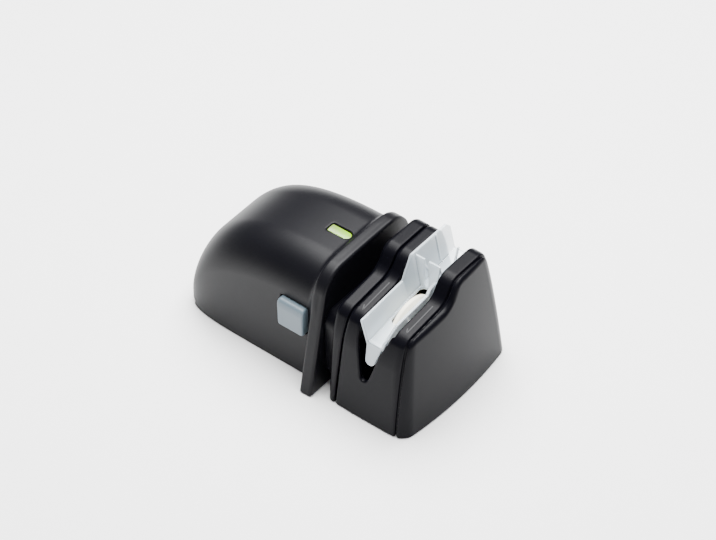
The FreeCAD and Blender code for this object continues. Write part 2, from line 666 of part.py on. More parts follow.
def flank(teeth, radius, pressure=math.radians(20)):
    """Half the angle of a tooth's thickness at a radius, from the involute."""
    pitch = size("tooth_module") * teeth / 2
    base = pitch * math.cos(pressure)
    half_pitch = (math.pi * size("tooth_module") / 2 - size("backlash")) / (2 * pitch)
    inv_pitch = math.tan(pressure) - pressure
    if radius <= base:
        return half_pitch + inv_pitch
    slope = math.acos(base / radius)
    return half_pitch + inv_pitch - (math.tan(slope) - slope)


def spur(teeth, low, width, across_axis, bore, turn):
    """A spur gear along X with involute flanks; turn sets which tooth faces +Y."""
    module = size("tooth_module")
    pitch = module * teeth / 2
    root, tip = pitch - 1.2 * module, pitch + 0.85 * module
    foot = pitch * math.cos(math.radians(20)) if root < pitch * 0.93 else pitch - 0.6 * module
    radii = [root, foot, tip] if teeth > 20 else [root, foot, pitch, tip]
    points = []
    for index in range(int(teeth)):
        middle = 2 * math.pi * (index + turn) / teeth
        side = [(radius, flank(teeth, radius)) for radius in radii]
        for radius, half in side:
            points.append((radius, middle - half))
        for radius, half in reversed(side):
            points.append((radius, middle + half))
    places = [V(low, across_axis[0] + r * math.cos(a), across_axis[1] + r * math.sin(a)) for r, a in points]
    body = Part.Face(Part.makePolygon(places + places[:1])).extrude(V(width, 0, 0))
    return body.cut(solid_rod("X", bore, low - 1, low + width + 1, across_axis))


def gear_low():
    """The gear runs behind the blade slot, clear of its liner wall."""
    return size("slot_centre") - size("slot_width") / 2 - size("slot_wall") - size("gear_width") - 0.8


def driven_gear():
    """The large gear with a web and a hub."""
    axis = (size("wheel_axis_side"), size("wheel_axis_up"))
    low, width = gear_low(), size("gear_width")
    gear = spur(size("gear_teeth"), low, width, axis, size("shaft_radius"), 0.0)
    rim = size("tooth_module") * size("gear_teeth") / 2 - 3.2
    ring = solid_rod("X", rim, low + width - 1.0, low + width + 1, axis).cut(
        solid_rod("X", 4.4, low, low + width + 2, axis))
    return feature("driven_gear", gear.cut(ring))


def motor_pinion():
    axis = (motor_side(), size("wheel_axis_up"))
    low = gear_low() - (size("pinion_width") - size("gear_width")) / 2
    teeth = size("pinion_teeth")
    facing = 0.5 if int(teeth) % 2 == 0 else 0.0
    return feature("motor_pinion", spur(teeth, low, size("pinion_width"), axis,
                                        size("motor_shaft_radius"), facing))


def bracket_spot(way):
    """Where a bracket screw stands, as Y and Z."""
    return (way * (bracket_half() - 0.9), size("wheel_axis_up") - 18)


def bracket_half():
    return size("housing_half") - size("housing_lean") - size("housing_wall") - size("slip")


AXIS_UP = "Sizes.wheel_axis_up"
AXIS_SIDE = "Sizes.wheel_axis_side"
MOTOR_SIDE = "Sizes.wheel_axis_side + Sizes.tooth_module * (Sizes.gear_teeth + Sizes.pinion_teeth) / 2"
MOTOR_FRONT = f"{X_FLANGE} - Sizes.bracket_thick"
X_HEAD = f"{X_FLANGE} + Sizes.flange_thick + Sizes.neck_length"
X_FRONT = f"-({X_REAR})"
X_GROOVE = f"{X_FRONT} - Sizes.front_cover_depth"
MOTOR_AXIS = (MOTOR_SIDE, AXIS_UP)
WHEEL_AXIS = (AXIS_SIDE, AXIS_UP)


def motor():
    """The motor: can, nose, end cap and the turning shaft."""
    start = f"{MOTOR_FRONT} - Sizes.motor_length"
    can = rod("MotorCan", "X", "Sizes.motor_radius", "Sizes.motor_length", (start, *MOTOR_AXIS))
    nose = rod("MotorNose", "X", "3.0", "2.6", (MOTOR_FRONT, *MOTOR_AXIS))
    bore = rod("MotorBore", "X", "Sizes.motor_shaft_radius + Sizes.run_gap", "Sizes.motor_length + 6",
               (f"{start} - 1", *MOTOR_AXIS))
    keep("motor_can", cut("MotorBody", fuse("MotorSolid", [can, nose]), bore))
    cap = rod("CapDisc", "X", "Sizes.motor_radius - 0.6", "Sizes.motor_cap", (f"{start} - Sizes.motor_cap", *MOTOR_AXIS))
    hub = rod("CapHub", "X", "3.4", "1.6", (f"{start} - Sizes.motor_cap - 1.6", *MOTOR_AXIS))
    cap_bore = rod("CapBore", "X", "Sizes.motor_shaft_radius + Sizes.run_gap", "Sizes.motor_cap + 4",
                   (f"{start} - Sizes.motor_cap - 1", *MOTOR_AXIS))
    keep("motor_end_cap", cut("CapBody", fuse("CapSolid", [cap, hub]), cap_bore))
    gear_front = "Sizes.slot_centre - Sizes.slot_width / 2 - Sizes.slot_wall"
    keep("motor_shaft", rod("MotorShaft", "X", "Sizes.motor_shaft_radius",
                            f"{gear_front} - ({start} - Sizes.motor_cap)",
                            (f"{start} - Sizes.motor_cap + 0.4", *MOTOR_AXIS)))


def motor_bracket():
    """A flanged plate on the back of the guard flange that carries the motor."""
    half = bracket_half()
    low, top = 9.0, size("neck_top") + 3
    rear = FLANGE_REAR - size("bracket_thick")
    plate = prism([(-half, low, 3), (half, low, 3), (half, top, 6), (-half, top, 6)], "X", rear, FLANGE_REAR)
    axis = (motor_side(), size("wheel_axis_up"))
    cup = solid_rod("X", size("motor_radius") + 1.6, rear - 7, rear + 0.2, axis).cut(
        solid_rod("X", size("motor_radius") + size("run_gap"), rear - 8, rear, axis))
    bracket = plate.fuse(cup).cut(solid_rod("X", 3.0 + size("run_gap"), rear - 1, FLANGE_REAR + 1, axis))
    for way in (-1, 1):
        bracket = bracket.cut(peg("X", 1.0, rear - 1, FLANGE_REAR + 1, (axis[0], axis[1] + way * 8)))
        bracket = bracket.cut(peg("X", size("screw_radius") + 0.1, rear - 1, FLANGE_REAR + 1, bracket_spot(way)))
    return feature("motor_bracket", bracket)


def wheel_parts():
    """The abrasive wheel, its shaft and the two bushes it turns in."""
    start = f"{X_HEAD} + 0.8"
    end = f"{X_GROOVE} + 2.6"
    keep("wheel_shaft", rod("WheelShaft", "X", "Sizes.shaft_radius", f"({end}) - ({start})", (start, *WHEEL_AXIS)))
    for name, place, length in (("rear", f"{X_HEAD} + 0.4", "Sizes.head_wall + 2.0"), ("front", X_GROOVE, "3.0")):
        bush = rod(f"Bush_{name}", "X", "Sizes.bush_radius - 0.02", length, (place, *WHEEL_AXIS))
        hole = rod(f"BushHole_{name}", "X", "Sizes.shaft_radius + Sizes.run_gap", f"{length} + 2",
                   (f"{place} - 1", *WHEEL_AXIS))
        keep(f"bush_{name}", cut(f"BushBody_{name}", bush, hole))


def abrasive_wheel():
    """The wheel as a designer turns it: a sketch of half its section, revolved about X."""
    body = doc.addObject("PartDesign::Body", "AbrasiveWheel")
    sketch = body.newObject("Sketcher::SketchObject", "WheelSection")
    plane = [f for f in body.Origin.OriginFeatures if f.Role == "XY_Plane"][0]
    sketch.AttachmentSupport = (plane, [""])
    sketch.MapMode = "FlatFace"
    corners = [("-Sizes.wheel_width / 2", "Sizes.shaft_radius"), ("Sizes.wheel_width / 2", "Sizes.shaft_radius"),
               ("Sizes.wheel_width / 2", "Sizes.wheel_radius - 2.2"),
               ("Sizes.wheel_tip_width / 2", "Sizes.wheel_radius"),
               ("-Sizes.wheel_tip_width / 2", "Sizes.wheel_radius"),
               ("-Sizes.wheel_width / 2", "Sizes.wheel_radius - 2.2")]
    bound_outline(sketch, corners)
    wheel = body.newObject("PartDesign::Revolution", "WheelTurned")
    wheel.Profile = sketch
    wheel.ReferenceAxis = (sketch, ["H_Axis"])
    wheel.Angle = 360
    body.Tip = wheel
    bind(body, at=("Sizes.slot_centre", AXIS_SIDE, AXIS_UP))
    keep("abrasive_wheel", body)


def evaluate(text):
    """The value of an expression of the sheet, for a sketch's starting shape."""
    return float(sheet.evalExpression(text.replace("Sizes.", "")))


def bound_outline(sketch, corners):
    """A closed outline in a sketch whose every corner is dimensioned from the origin by an expression."""
    places = [V(evaluate(u), evaluate(v), 0) for u, v in corners]
    count = len(corners)
    for index in range(count):
        sketch.addGeometry(Part.LineSegment(places[index], places[(index + 1) % count]), False)
    for index in range(count):
        sketch.addConstraint(Sketcher.Constraint("Coincident", index, 2, (index + 1) % count, 1))
    for index, (u, v) in enumerate(corners):
        for kind, text, value in (("DistanceX", u, places[index].x), ("DistanceY", v, places[index].y)):
            number = sketch.addConstraint(Sketcher.Constraint(kind, -1, 1, index, 1, value))
            sketch.setExpression(f"Constraints[{number}]", text)


# Controls


def power_button():
    """The push button: a padded block with bevelled edges and a lip that keeps it in its hole."""
    body = doc.addObject("PartDesign::Body", "PowerButton")
    plane = [f for f in body.Origin.OriginFeatures if f.Role == "XZ_Plane"][0]
    cap_sketch = body.newObject("Sketcher::SketchObject", "CapOutline")
    cap_sketch.AttachmentSupport = (plane, [""])
    cap_sketch.MapMode = "FlatFace"
    half_u, half_v = "Sizes.button_wide / 2", "Sizes.button_tall / 2"
    bound_outline(cap_sketch, [(f"-{half_u}", f"-{half_v}"), (half_u, f"-{half_v}"), (half_u, half_v), (f"-{half_u}", half_v)])
    cap = body.newObject("PartDesign::Pad", "Cap")
    cap.Profile = cap_sketch
    inner = "Sizes.housing_half - Sizes.housing_lean - Sizes.housing_wall - Sizes.slip - Sizes.button_lip"
    outer = "Sizes.housing_half - Sizes.housing_lean / 2 + Sizes.button_proud"
    cap.setExpression("Length", f"({outer}) - ({inner})")
    lip_sketch = body.newObject("Sketcher::SketchObject", "LipOutline")
    lip_sketch.AttachmentSupport = (plane, [""])
    lip_sketch.MapMode = "FlatFace"
    lip_u = "(Sizes.button_wide / 2 + Sizes.button_gap + Sizes.button_edge)"
    lip_v = "(Sizes.button_tall / 2 + Sizes.button_gap + Sizes.button_edge)"
    bound_outline(lip_sketch, [(f"-{lip_u}", f"-{lip_v}"), (lip_u, f"-{lip_v}"), (lip_u, lip_v), (f"-{lip_u}", lip_v)])
    lip = body.newObject("PartDesign::Pad", "Lip")
    lip.Profile = lip_sketch
    lip.setExpression("Length", "Sizes.button_lip")
    doc.recompute()
    face = max(range(len(lip.Shape.Faces)), key=lambda i: -lip.Shape.Faces[i].CenterOfMass.y)
    bevel = body.newObject("PartDesign::Fillet", "Bevel")
    bevel.Base = (lip, [f"Face{face + 1}"])
    bevel.setExpression("Radius", "Sizes.button_bevel")
    body.Tip = bevel
    bind(body, at=("Sizes.button_centre", f"-({inner})", "Sizes.button_up"))
    keep("power_button", body)


def switch_parts():
    """A push switch on its post; its plunger touches the back of the button."""
    inner = "Sizes.housing_half - Sizes.housing_lean - Sizes.housing_wall - Sizes.slip - Sizes.button_lip"
    face = f"4.7 - ({inner})"
    box = block("SwitchBox", "9", "6", "9", ("Sizes.button_centre - 4.5", face, "Sizes.button_up - 4.5"))
    hole = rod("SwitchHole", "Y", "1.6 + Sizes.run_gap", "5.4", ("Sizes.button_centre", f"{face} - 0.4", "Sizes.button_up"))
    keep("switch_body", cut("SwitchBody", box, hole))
    keep("switch_plunger", rod("SwitchPlunger", "Y", "1.6", "6.4", ("Sizes.button_centre", f"-({inner})", "Sizes.button_up")))


def board_parts():
    """The small circuit board under the window and the lamp on it."""
    keep("circuit_board", block("Board", "Sizes.board_long", "Sizes.board_wide", "Sizes.board_thick",
                                ("Sizes.window_centre - Sizes.board_long * 0.64", "-Sizes.board_wide / 2", "Sizes.board_up")))
    top = "Sizes.board_up + Sizes.board_thick"
    stem = rod("LedStem", "Z", "Sizes.led_radius", "Sizes.led_radius + 0.2", ("Sizes.window_centre + 2", "0", top))
    dome_end = doc.addObject("Part::Cone", "LedDome")
    bind(dome_end, Radius1="Sizes.led_radius", Radius2="Sizes.led_radius * 0.45", Height="Sizes.led_radius * 0.9",
         at=("Sizes.window_centre + 2", "0", f"{top} + Sizes.led_radius + 0.2"))
    keep("pilot_led", fuse("PilotLed", [stem, dome_end]))


# Fasteners and feet


def screw(axis, way, spot, head_at, length):
    """A screw with a flat head and a hexagon socket; way is +1 or -1 along the axis from its head's outer face."""
    thick, radius = size("screw_head_thick"), size("screw_radius")
    under = head_at + way * thick * 0.5
    ends = [(head_at, head_at + way * thick), (under, head_at + way * length), (head_at - way * 0.01, head_at + way * 0.7)]
    (head, shank, socket) = [(min(pair), max(pair)) for pair in ends]
    solid = peg(axis, size("screw_head") * 0.97, *head, spot, 14)
    solid = solid.fuse(peg(axis, radius * 0.84, *shank, spot, 6))
    return solid.cut(peg(axis, radius * 0.6, *socket, spot, 6))


def screws():
    """Identical screws share a node: under the base, inside the neck and on the motor bracket."""
    low = screw_seat() - size("screw_head_thick")
    base = [screw("Z", 1, base_screw_spot(way), low, 11) for way in (-1, 1)]
    base += [screw("Z", 1, block_boss_spot(way), low, 11) for way in (-1, 1)]
    feature("base_screws", Part.makeCompound(base))
    seat = HEAD_REAR - size("rear_drop")
    neck = [screw("X", 1, head_screw_spot(way), seat - size("screw_head_thick"), 13) for way in (-1, 1)]
    feature("neck_screws", Part.makeCompound(neck))
    rear = FLANGE_REAR - size("bracket_thick")
    plate = [screw("X", 1, bracket_spot(way), rear - size("screw_head_thick"), 6.8) for way in (-1, 1)]
    feature("bracket_screws", Part.makeCompound(plate))


def feet():
    """Four rubber pads in the two base plates."""
    places = [("-4", "19"), ("-4", "-19"), ("Sizes.slot_centre", "20"), ("Sizes.slot_centre", "-20")]
    for index, (along, side) in enumerate(places):
        foot = doc.addObject("Part::Prism", f"Foot{index}")
        foot.Polygon = 20
        bind(foot, Circumradius="Sizes.foot_radius", Height="Sizes.plate_low", at=(along, side, "0"))
        keep(f"rubber_foot_{index + 1}", foot)


rear_housing()
window_lens()
base_plate()
battery_tray()
battery_cells()
contacts("contacts_rear", size("bay_rear") + size("bay_wall"), 1)
contacts("contacts_front", bay_front() - size("bay_wall"), -1)
battery_door()
head_rear_cover()
head_centre_block()
head_front_cover()
head_base_plate()
knife_guide()
driven_gear()
motor_pinion()
motor()
motor_bracket()
wheel_parts()
abrasive_wheel()
power_button()
switch_parts()
board_parts()
screws()
feet()
doc.recompute()

# Nothing is written unless every object computed and every sub-part is a sound shape.
faults = [thing.Label for thing in doc.Objects if "Invalid" in thing.State or "Error" in thing.State]
for label, thing in NODES.items():
    if thing.Shape.isNull() or not thing.Shape.isValid() or not thing.Shape.Solids:
        faults.append(label)
if faults:
    raise RuntimeError("these did not compute: " + ", ".join(faults))
os.makedirs("parts", exist_ok=True)
for label, thing in NODES.items():
    thing.Shape.exportStep(f"parts/{label}.step")
    box = thing.Shape.BoundBox
    print(f"{label:20s} solids {len(thing.Shape.Solids)} volume {thing.Shape.Volume:9.1f}"
          f"  x {box.XMin:7.2f} {box.XMax:7.2f}  y {box.YMin:7.2f} {box.YMax:7.2f}  z {box.ZMin:6.2f} {box.ZMax:6.2f}")
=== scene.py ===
import json
import math
import bpy
import numpy as np
from mathutils import Matrix, Vector


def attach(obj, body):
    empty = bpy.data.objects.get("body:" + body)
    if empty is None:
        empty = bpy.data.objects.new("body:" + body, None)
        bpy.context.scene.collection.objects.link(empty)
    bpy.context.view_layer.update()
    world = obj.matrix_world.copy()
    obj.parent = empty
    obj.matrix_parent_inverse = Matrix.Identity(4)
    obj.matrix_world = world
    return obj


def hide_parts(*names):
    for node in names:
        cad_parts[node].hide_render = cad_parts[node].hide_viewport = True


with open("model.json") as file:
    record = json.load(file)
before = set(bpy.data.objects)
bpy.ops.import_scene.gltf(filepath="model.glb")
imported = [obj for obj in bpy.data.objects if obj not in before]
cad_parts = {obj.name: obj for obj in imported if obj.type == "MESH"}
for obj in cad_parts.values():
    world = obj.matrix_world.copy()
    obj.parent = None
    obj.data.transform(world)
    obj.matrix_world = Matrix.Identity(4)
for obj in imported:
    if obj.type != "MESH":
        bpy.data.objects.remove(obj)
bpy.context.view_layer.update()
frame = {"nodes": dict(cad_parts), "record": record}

# The looks of an electric knife sharpener. Sizes and fields are in millimetres in the row frame.
# A field is negative inside its form, and the mesh that is made from it is in metres.
# Heights are above the ground, and halves are measured from the middle plane.

# Rear housing
HOUSING_LONG = 86.0
HOUSING_HALF = 35.4
HOUSING_TALL = 68.0
HOUSING_LEAN = 3.2
HOUSING_CORNER = 20.0
CORNER_OF_HEIGHT = 0.72
HOUSING_WALL = 2.0
PLAN_POWER = 7.4
PROFILE_POWER = 2.6
DOME_END_SHARE = 0.9985
DOOR_HALF = 31.0
DOOR_TOP = 2.9
DOOR_FRONT = -64.5

# Guard flange
FLANGE_REAR = 10.5
FLANGE_FRONT = 17.7
FLANGE_FOOT = 46.2
FLANGE_TOP = 30.2
FLANGE_TALL = 69.4
FLANGE_CROWN = 0.9
FLANGE_CORNER = 11.0

# Push button and pilot window
BUTTON_X = -1.2
BUTTON_Z = 36.4
BUTTON_WIDE = 8.05
BUTTON_TALL = 8.3
BUTTON_PROUD = 3.6
BUTTON_BACK = -28.8
BUTTON_BEVEL = 2.4
BUTTON_LIP = 1.1
BUTTON_CLEARANCE = 0.4
BUTTON_HOLE_END = -25
WINDOW_X = 1.0
WINDOW_LONG = 6.5
WINDOW_WIDE = 2.75
WINDOW_TOP = 67.3
WINDOW_BACK = 64.4
WINDOW_CROWN = 0.03
WINDOW_INSET = 0.05
WINDOW_CLEARANCE = 0.15
WINDOW_SLOT_LOW = 60

# Head: an outline with two ledges, a slanted step and a shoulder.
# Three values in a row are at the ground, at the middle and at the apex.
HEAD_REAR = 25.0
HEAD_FRONT = 75.5
HEAD_MIDDLE = 36.0
HEAD_HALVES = (41.3, 37.2, 30.6)
FRONT_LEANS = (0, 2.88, 6.4)
SIDE_BULGE = 0.5
BULGE_X = 48
BULGE_REACH = 24
FRONT_SWEEP = 3.4
SWEEP_HALF = 40
SLANT = 0.99
LEDGE = 59.8
LEDGE_FALL = 3.0
LEDGE_END = 31.2
STEP_START = -3.2
STEP_RUN = 7.5
SHOULDER = 70.6
SHOULDER_END = 29.0
SHOULDER_DIP = 0.3
NEAR_NORMAL = (0.894, 0.447)
FAR_NORMAL = (0.886, 0.463)
HEAD_APEX = SHOULDER + 6
LEDGE_SLOPE = LEDGE_FALL / (LEDGE_END + STEP_START)
HEAD_WALL = 2.4
LIP_WALL = 1.3

# Parting lines of the head's covers, and the neck
PARTING_REACH = 4.2
PARTING_LEAN = 3.2
COVER_LEAN = 0.8
GROOVE = 66.5
GAP = 1.0
NECK_HALF = 34.0
NECK_LOW = 5.0
NECK_HIGH = 48.0
NECK_WALL = 2.2

# Blade slot and notches
SLOT_MIDDLE = 49.0
SLOT_HALF = 9.6
SLOT_LOW = 48
LINER_HALF = 0.9
LINER_LOW = 44
NOTCH_LOW = 24.0
NOTCH_FROM = 30.8
NOTCH_REAR = ((NOTCH_LOW, 43.8), (47, 39.9), (56, SLOT_MIDDLE - SLOT_HALF))
NOTCH_FRONT = ((NOTCH_LOW, 47.8), (34, 50.8), (44, 53.4), (52, 56.7), (58, SLOT_MIDDLE + SLOT_HALF))

# Clear guide
GUIDE_NEAR = -34.2
GUIDE_FAR = 33.4
GUIDE_WALL = 1.5
FLOOR_LOW = 46.6
FLOOR_RISE = 4.9
SIDE_START = 4.9
GUIDE_STATIONS = (GUIDE_NEAR, STEP_START + 0.2, STEP_START + STEP_RUN - 0.4, GUIDE_FAR - 2.5, GUIDE_FAR)
RIM_HEIGHTS = (58.6, 60.8, 73.0, 73.0, 70.6)
RIM_HALVES = (8.5, 8.5, 8.5, 8.5, 8.0)
FRONT_RIM = (50.5, 61)
FRONT_RIM_RISE = 9
WHEEL_SLOT_HALF = 2.8
WHEEL_SLOT_LONG = 12.6
WEB_REAR = 5.9
WEB_FRONT = 7.1
WEB_TOP = 71.8
WEB_SLIT = 1.3
RIB_HALF = 0.55
RIBS = (((6.5, 71), (14, 56)), ((22, 72.4), (22, 58)))
TAB_DROP = 12.2
TAB_HALVES = (4.5, 2.5)
TAB_LEAN = 0.22
TAB_DRIFT = 0.11

# Abrasive wheel
WHEEL_Y = -6.5
WHEEL_Z = 38.0
WHEEL_RADIUS = 16.6
WHEEL_HALF = 2.2
WHEEL_LAND = 0.8
WHEEL_BORE = 2.0

# Direction arrows on the ledges
ARROW_START = -6.5
ARROW_END = -27.0
ARROW_HALF = 0.28
ARROW_BARB = 3.0
BARB_SPREAD = 0.45
ARROW_LIFT = 0.05
ARROW_THICK = 0.3
BOX_FACES = ((3, 2, 1, 0), (4, 5, 6, 7), (0, 1, 5, 4), (1, 2, 6, 5), (2, 3, 7, 6), (3, 0, 4, 7))


# Fields


def smax(a, b, radius):
    """The larger of two distances, with the corner between them rounded to a radius."""
    past_a = a + radius
    past_b = b + radius
    outside = np.hypot(np.maximum(past_a, 0), np.maximum(past_b, 0))
    return np.minimum(np.maximum(past_a, past_b), 0) + outside - radius


def smin(a, b, radius):
    """The smaller of two distances, with the inside corner filled to a radius."""
    return -smax(-a, -b, radius)


def between(value, low, high):
    """The distance outside a slab."""
    return np.maximum(low - value, value - high)


def slot_field(u, v, long, wide, radius):
    """A rounded rectangle in two coordinates, from its half length and half width."""
    return smax(np.abs(u) - long, np.abs(v) - wide, radius)


def stroke_field(u, v, start, end):
    """The distance to a straight stroke between two points."""
    along = np.array(end, float) - np.array(start, float)
    share = np.clip(((u - start[0]) * along[0] + (v - start[1]) * along[1]) / (along @ along), 0, 1)
    return np.hypot(u - start[0] - share * along[0], v - start[1] - share * along[1])


def dome(x, y, z):
    """The rear housing's domed outer form: power curves in plan and profile, with leaning sides."""
    share = np.clip((FLANGE_REAR - x) / HOUSING_LONG, 0, DOME_END_SHARE)
    narrow = (1 - share ** PLAN_POWER) ** (1 / PLAN_POWER)
    low = (1 - share ** PROFILE_POWER) ** (1 / PROFILE_POWER)
    high = HOUSING_TALL * low
    lean = HOUSING_LEAN * low * narrow
    side = np.abs(y) - (HOUSING_HALF * narrow - lean * np.clip(z, 0, HOUSING_TALL) / high)
    corner = np.minimum(HOUSING_CORNER, CORNER_OF_HEIGHT * high)
    return np.maximum(smax(side, z - high, corner), FLANGE_REAR - DOME_END_SHARE * HOUSING_LONG - x)


def flange(x, y, z):
    """The guard flange: a plate with leaning sides and a slightly crowned top."""
    tilt = math.atan2(FLANGE_FOOT - FLANGE_TOP, FLANGE_TALL)
    side = (np.abs(y) - (FLANGE_FOOT - math.tan(tilt) * z)) * math.cos(tilt)
    top = z - (FLANGE_TALL + FLANGE_CROWN * (1 - (y / FLANGE_TOP) ** 2))
    plate = smax(smax(side, top, FLANGE_CORNER), -z, 1.2)
    return smax(plate, between(x, FLANGE_REAR, FLANGE_FRONT), 1.4)


def window_field(x, y, grow):
    """The pilot window seen from above: a round front end and a squarer rear end."""
    u = x - WINDOW_X
    round_end = np.hypot(np.maximum(u - (WINDOW_LONG - WINDOW_WIDE), 0), y) - WINDOW_WIDE - grow
    square_end = slot_field(u, y, WINDOW_LONG + grow, WINDOW_WIDE + grow, 0.8)
    return np.where(u > 0, round_end, square_end)


def housing(x, y, z):
    """Shell and flange in one moulding, with the button's hole, the window's slot and the door's notch."""
    outer = dome(x, y, z)
    shell = smax(np.maximum(outer, x - FLANGE_REAR - 1), -(outer + HOUSING_WALL), 0.3)
    body = smax(smin(shell, flange(x, y, z), 3.0), -z, 0.5)
    wide, tall = BUTTON_WIDE + BUTTON_CLEARANCE, BUTTON_TALL + BUTTON_CLEARANCE
    hole = slot_field(x - BUTTON_X, z - BUTTON_Z, wide, tall, 1.0)
    body = smax(body, -np.maximum(hole, y - BUTTON_HOLE_END), 0.5)
    window = np.maximum(window_field(x, y, WINDOW_CLEARANCE), WINDOW_SLOT_LOW - z)
    body = smax(body, -window, 0.35)
    door = np.maximum(np.maximum(np.abs(y) - DOOR_HALF, z - DOOR_TOP), x - DOOR_FRONT)
    return smax(body, -door, 0.2)


def share_of(z, values):
    """A smooth curve through three values, at the ground, the middle and the apex of the head."""
    low, middle, high = values
    a, b, c = 0.0, HEAD_MIDDLE, HEAD_APEX
    return (low * (z - b) * (z - c) / ((a - b) * (a - c)) + middle * (z - a) * (z - c) / ((b - a) * (b - c))
            + high * (z - a) * (z - b) / ((c - a) * (c - b)))


def head_top(y, z):
    """The stepped outline of the head's end view."""
    ledge = z - (LEDGE + (y - STEP_START) * LEDGE_SLOPE)
    angle = math.atan2(SHOULDER - LEDGE, STEP_RUN)
    step = -(y - STEP_START) * math.sin(angle) + (z - LEDGE) * math.cos(angle)
    top = smax(z - SHOULDER, smin(ledge, step, 3.0), 3.6)
    near = (-y - LEDGE_END) * NEAR_NORMAL[0] + (z - LEDGE + LEDGE_FALL) * NEAR_NORMAL[1]
    far = (y - SHOULDER_END) * FAR_NORMAL[0] + (z - SHOULDER + SHOULDER_DIP) * FAR_NORMAL[1]
    return smax(smax(top, near, 4.0), far, 4.0)


def head(x, y, z):
    """The whole head's outer form: tapering sides with a slight bulge, and a swept, curved front."""
    bulge = SIDE_BULGE * (1 - ((x - BULGE_X) / BULGE_REACH) ** 2)
    side = (np.abs(y) - share_of(z, HEAD_HALVES) - bulge) * SLANT
    front = HEAD_FRONT - share_of(z, FRONT_LEANS) - FRONT_SWEEP * (y / SWEEP_HALF) ** 2
    body = smax(side, (x - front) * SLANT, 6.5)
    return smax(smax(body, head_top(y, z), 2.6), -z, 1.0)


def rear_plane(z, offset):
    """Where the parting plane of rear cover and centre block lies along X."""
    return HEAD_REAR + PARTING_REACH + PARTING_LEAN * z / LEDGE + offset


def rear_cover(x, y, z):
    """Rear cover of the head with its neck."""
    form = head(x, y, z)
    rear = HEAD_REAR - COVER_LEAN * z / HEAD_APEX - x
    cover = smax(smax(form, rear, 2.2), x - rear_plane(z, -GAP / 2), 0.8)
    cover = np.maximum(cover, -np.maximum(form + HEAD_WALL, rear + HEAD_WALL))
    neck = smax(np.abs(y) - NECK_HALF, between(z, NECK_LOW, NECK_HIGH), 8.0)
    neck = np.maximum(neck, between(x, FLANGE_FRONT, HEAD_REAR + 1))
    return smin(cover, np.maximum(neck, -(neck + NECK_WALL)), 0.8)


def notch(x, z):
    """The blade notch seen from the side. It leans towards the rear as it goes down."""
    rear = np.interp(z, *zip(*NOTCH_REAR))
    front = np.interp(z, *zip(*NOTCH_FRONT))
    return smax(np.maximum(rear - x, x - front) * 0.97, NOTCH_LOW - z, 2.0)


def centre_block(x, y, z):
    """The middle cover with the blade slot, its liner walls and the notches."""
    form = head(x, y, z)
    slab = np.maximum(rear_plane(z, GAP / 2) - x, x - (GROOVE - GAP / 2))
    block = np.maximum(smax(form, slab, 0.8), -(form + HEAD_WALL))
    tongue = np.maximum(rear_plane(z, -GAP / 2) - x, x - (GROOVE + GAP / 2))
    tongue = np.maximum(np.maximum(form + LIP_WALL, -(form + HEAD_WALL)), tongue)
    block = np.minimum(block, tongue)
    for side in (-1, 1):
        liner = np.abs(x - SLOT_MIDDLE - side * (SLOT_HALF + LINER_HALF)) - LINER_HALF
        block = np.minimum(block, np.maximum(np.maximum(liner, LINER_LOW - z), form + 0.6))
    slot = np.maximum(np.abs(x - SLOT_MIDDLE) - SLOT_HALF, SLOT_LOW - z)
    cut = np.where(np.abs(y) > NOTCH_FROM, notch(x, z), slot)
    return smax(block, -cut, 0.7)


def front_cover(x, y, z):
    """The curved front cover."""
    form = head(x, y, z)
    return np.maximum(smax(form, GROOVE + GAP / 2 - x, 0.8), -(form + HEAD_WALL))


def guide_floor(y):
    """The height of the trough's floor."""
    return FLOOR_LOW + FLOOR_RISE * (y - GUIDE_NEAR) / (WHEEL_Y - GUIDE_NEAR)


def guide_tab(x, y, z):
    """The round ended tab that hangs from the near end of the trough, leaning outwards and to the rear."""
    drop = guide_floor(GUIDE_NEAR) - z
    middle = SLOT_MIDDLE - TAB_DRIFT * drop
    half = np.interp(drop, [0, TAB_DROP], TAB_HALVES)
    face = GUIDE_NEAR - TAB_LEAN * drop
    tab = smax(np.abs(x - middle) - half, drop - TAB_DROP, 2.3)
    tab = smax(tab, between(y, face, face + GUIDE_WALL), 0.4)
    return np.maximum(tab, -drop - 0.4)


def knife_guide(x, y, z):
    """The clear V trough, with its wheel slot, cross web, ribs and end tab."""
    rim = np.interp(y, GUIDE_STATIONS, RIM_HEIGHTS)
    reach = np.interp(y, GUIDE_STATIONS, RIM_HALVES)
    front_rim = np.minimum(rim, np.interp(y, [GUIDE_NEAR, GUIDE_NEAR + FRONT_RIM_RISE], FRONT_RIM))
    floor = guide_floor(y)
    u = np.abs(x - SLOT_MIDDLE)
    slope = (reach - SIDE_START) / (rim - floor + GUIDE_WALL)
    side = (u - (SIDE_START + (z - floor + GUIDE_WALL) * slope)) / np.sqrt(1 + slope ** 2)
    outer = smax(side, floor - GUIDE_WALL - z, 1.0)
    inner = smax(side + GUIDE_WALL, floor - z, 0.6)
    trough = smax(outer, -inner, 0.2)
    trough = smax(trough, z - np.where(x > SLOT_MIDDLE, front_rim, rim), 0.5)
    trough = smax(trough, between(y, GUIDE_NEAR, GUIDE_FAR), 0.5)
    slot = slot_field(x - SLOT_MIDDLE, y - WHEEL_Y, WHEEL_SLOT_HALF, WHEEL_SLOT_LONG, 2.7)
    trough = smax(trough, -np.maximum(slot, between(z, 30, 56)), 0.3)
    web = np.maximum(side, between(y, WEB_REAR, WEB_FRONT))
    web = np.maximum(np.maximum(web, z - WEB_TOP), floor - z)
    web = np.maximum(web, WEB_SLIT - u)
    ribs = np.minimum(*[stroke_field(y, z, start, end) for start, end in RIBS])
    ribs = np.maximum(ribs - RIB_HALF, np.abs(side + GUIDE_WALL) - 0.5)
    return smin(np.minimum(np.minimum(trough, web), ribs), guide_tab(x, y, z), 0.4)


